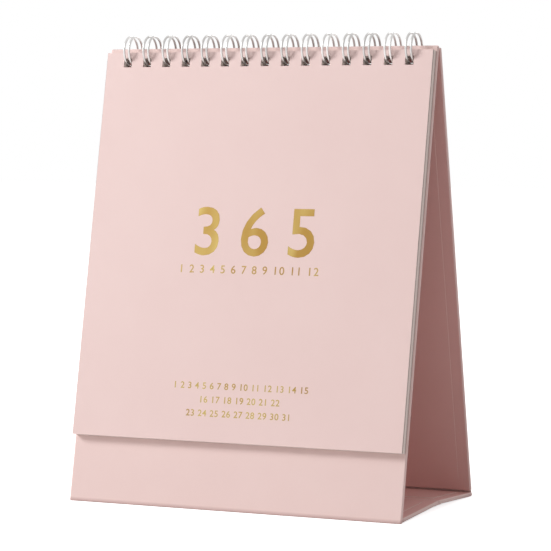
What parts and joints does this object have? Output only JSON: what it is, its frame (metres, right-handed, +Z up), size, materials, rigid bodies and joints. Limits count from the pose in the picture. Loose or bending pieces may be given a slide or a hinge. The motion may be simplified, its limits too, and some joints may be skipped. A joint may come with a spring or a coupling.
{
  "type": "stand-up desk calendar",
  "caption": "Tent-shaped desk calendar: a wrapped board stand with a folding base, and a cover and month sheets turning on a twin-loop wire along the ridge.",
  "frame": {"origin": "middle of the footprint, on the surface that the stand stands on", "axes": "+X along the binding wire to the right, +Y from the cover towards the back panel, +Z up"},
  "size_m": [0.138, 0.0757, 0.1799],
  "materials": {
    "pink_wrap": "smooth matt printed wrapping paper, pale pink",
    "grey_board": "raw grey board, matt",
    "pink_liner": "matt lining paper, dusky pink",
    "month_paper": "uncoated off-white paper",
    "cover_card": "satin card, pale pink with gold foil",
    "silver_wire": "bright coated steel wire"
  },
  "bodies": {
    "stand_front": {"front_board": "grey_board", "front_wrap": "pink_wrap", "front_liner": "pink_liner", "twin_loop_wire": "silver_wire"},
    "base_front": {"base_front_board": "grey_board", "base_front_wrap": "pink_wrap", "base_front_liner": "pink_liner", "front_fold_strip": "pink_wrap", "crease_strip": "pink_wrap"},
    "base_back": {"base_back_board": "grey_board", "base_back_wrap": "pink_wrap", "base_back_liner": "pink_liner", "back_fold_strip": "pink_wrap"},
    "stand_back": {"back_board": "grey_board", "back_wrap": "pink_wrap", "back_liner": "pink_liner"},
    "month_sheet_12": {"month_sheet_12": "month_paper"},
    "month_sheet_11": {"month_sheet_11": "month_paper"},
    "month_sheet_10": {"month_sheet_10": "month_paper"},
    "month_sheet_09": {"month_sheet_09": "month_paper"},
    "month_sheet_08": {"month_sheet_08": "month_paper"},
    "month_sheet_07": {"month_sheet_07": "month_paper"},
    "month_sheet_06": {"month_sheet_06": "month_paper"},
    "month_sheet_05": {"month_sheet_05": "month_paper"},
    "month_sheet_04": {"month_sheet_04": "month_paper"},
    "month_sheet_03": {"month_sheet_03": "month_paper"},
    "month_sheet_02": {"month_sheet_02": "month_paper"},
    "month_sheet_01": {"month_sheet_01": "month_paper"},
    "front_cover": {"front_cover": "cover_card"}
  },
  "joints": [
    {"name": "base_fold", "type": "hinge", "parent": "stand_front", "child": "base_front", "pos_m": [0, -0.03596, 0.0003], "axis": [-1, 0, 0], "range_deg": [0, 102], "deforming": ["front_fold_strip"]},
    {"name": "crease_fold", "type": "hinge", "parent": "base_front", "child": "base_back", "pos_m": [0, 0.00111, 0.00382], "axis": [1, 0, 0], "range_deg": [0, 182], "deforming": ["crease_strip", "back_fold_strip"]},
    {"name": "ridge_fold", "type": "hinge", "parent": "stand_front", "child": "stand_back", "pos_m": [0, -0.00183, 0.17372], "axis": [-1, 0, 0], "range_deg": [0, 22.8]},
    {"name": "turn_sheet_12", "type": "hinge", "parent": "stand_front", "child": "month_sheet_12", "pos_m": [0, -0.00183, 0.17372], "axis": [-1, 0, 0], "range_deg": [0, 180]},
    {"name": "turn_sheet_11", "type": "hinge", "parent": "month_sheet_12", "child": "month_sheet_11", "pos_m": [0, -0.00183, 0.17372], "axis": [-1, 0, 0], "range_deg": [0, 180]},
    {"name": "turn_sheet_10", "type": "hinge", "parent": "month_sheet_11", "child": "month_sheet_10", "pos_m": [0, -0.00183, 0.17372], "axis": [-1, 0, 0], "range_deg": [0, 180]},
    {"name": "turn_sheet_09", "type": "hinge", "parent": "month_sheet_10", "child": "month_sheet_09", "pos_m": [0, -0.00183, 0.17372], "axis": [-1, 0, 0], "range_deg": [0, 180]},
    {"name": "turn_sheet_08", "type": "hinge", "parent": "month_sheet_09", "child": "month_sheet_08", "pos_m": [0, -0.00183, 0.17372], "axis": [-1, 0, 0], "range_deg": [0, 180]},
    {"name": "turn_sheet_07", "type": "hinge", "parent": "month_sheet_08", "child": "month_sheet_07", "pos_m": [0, -0.00183, 0.17372], "axis": [-1, 0, 0], "range_deg": [0, 180]},
    {"name": "turn_sheet_06", "type": "hinge", "parent": "month_sheet_07", "child": "month_sheet_06", "pos_m": [0, -0.00183, 0.17372], "axis": [-1, 0, 0], "range_deg": [0, 180]},
    {"name": "turn_sheet_05", "type": "hinge", "parent": "month_sheet_06", "child": "month_sheet_05", "pos_m": [0, -0.00183, 0.17372], "axis": [-1, 0, 0], "range_deg": [0, 180]},
    {"name": "turn_sheet_04", "type": "hinge", "parent": "month_sheet_05", "child": "month_sheet_04", "pos_m": [0, -0.00183, 0.17372], "axis": [-1, 0, 0], "range_deg": [0, 180]},
    {"name": "turn_sheet_03", "type": "hinge", "parent": "month_sheet_04", "child": "month_sheet_03", "pos_m": [0, -0.00183, 0.17372], "axis": [-1, 0, 0], "range_deg": [0, 180]},
    {"name": "turn_sheet_02", "type": "hinge", "parent": "month_sheet_03", "child": "month_sheet_02", "pos_m": [0, -0.00183, 0.17372], "axis": [-1, 0, 0], "range_deg": [0, 180]},
    {"name": "turn_sheet_01", "type": "hinge", "parent": "month_sheet_02", "child": "month_sheet_01", "pos_m": [0, -0.00183, 0.17372], "axis": [-1, 0, 0], "range_deg": [0, 180]},
    {"name": "turn_cover", "type": "hinge", "parent": "month_sheet_01", "child": "front_cover", "pos_m": [0, -0.00183, 0.17372], "axis": [-1, 0, 0], "range_deg": [0, 180]}
  ],
  "couplings": [
    {"joint": "crease_fold", "follows": "base_fold", "ratio": 1.7832},
    {"joint": "ridge_fold", "follows": "base_fold", "ratio": 0.22325}
  ]
}
